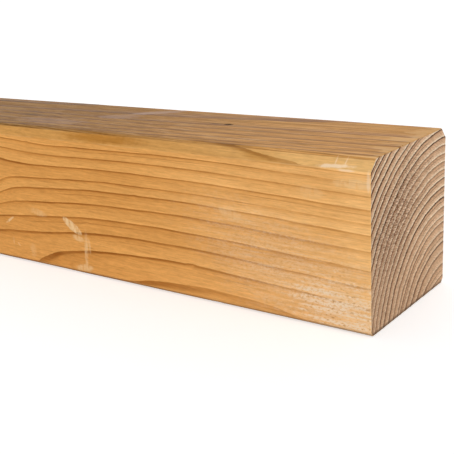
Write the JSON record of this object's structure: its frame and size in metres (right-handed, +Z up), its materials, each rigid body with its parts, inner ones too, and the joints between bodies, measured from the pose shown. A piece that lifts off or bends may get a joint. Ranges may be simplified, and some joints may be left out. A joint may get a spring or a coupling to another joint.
{
  "type": "wooden post",
  "caption": "Long square timber post of solid sawn softwood with bevelled long edges and square-cut ends, used as an upright, beam or bearer.",
  "frame": {"origin": "middle of the bottom face, on the floor that the post lies on", "axes": "+X along the post's length, towards the sawn end with the scuffed corner; +Y from the front face to the back face; +Z up, towards the face between the two large bevels"},
  "size_m": [2.4, 0.15, 0.15],
  "materials": {
    "wood": "sawn and lightly planed, unfinished"
  },
  "bodies": {
    "root": {"post": "wood"}
  },
  "joints": []
}
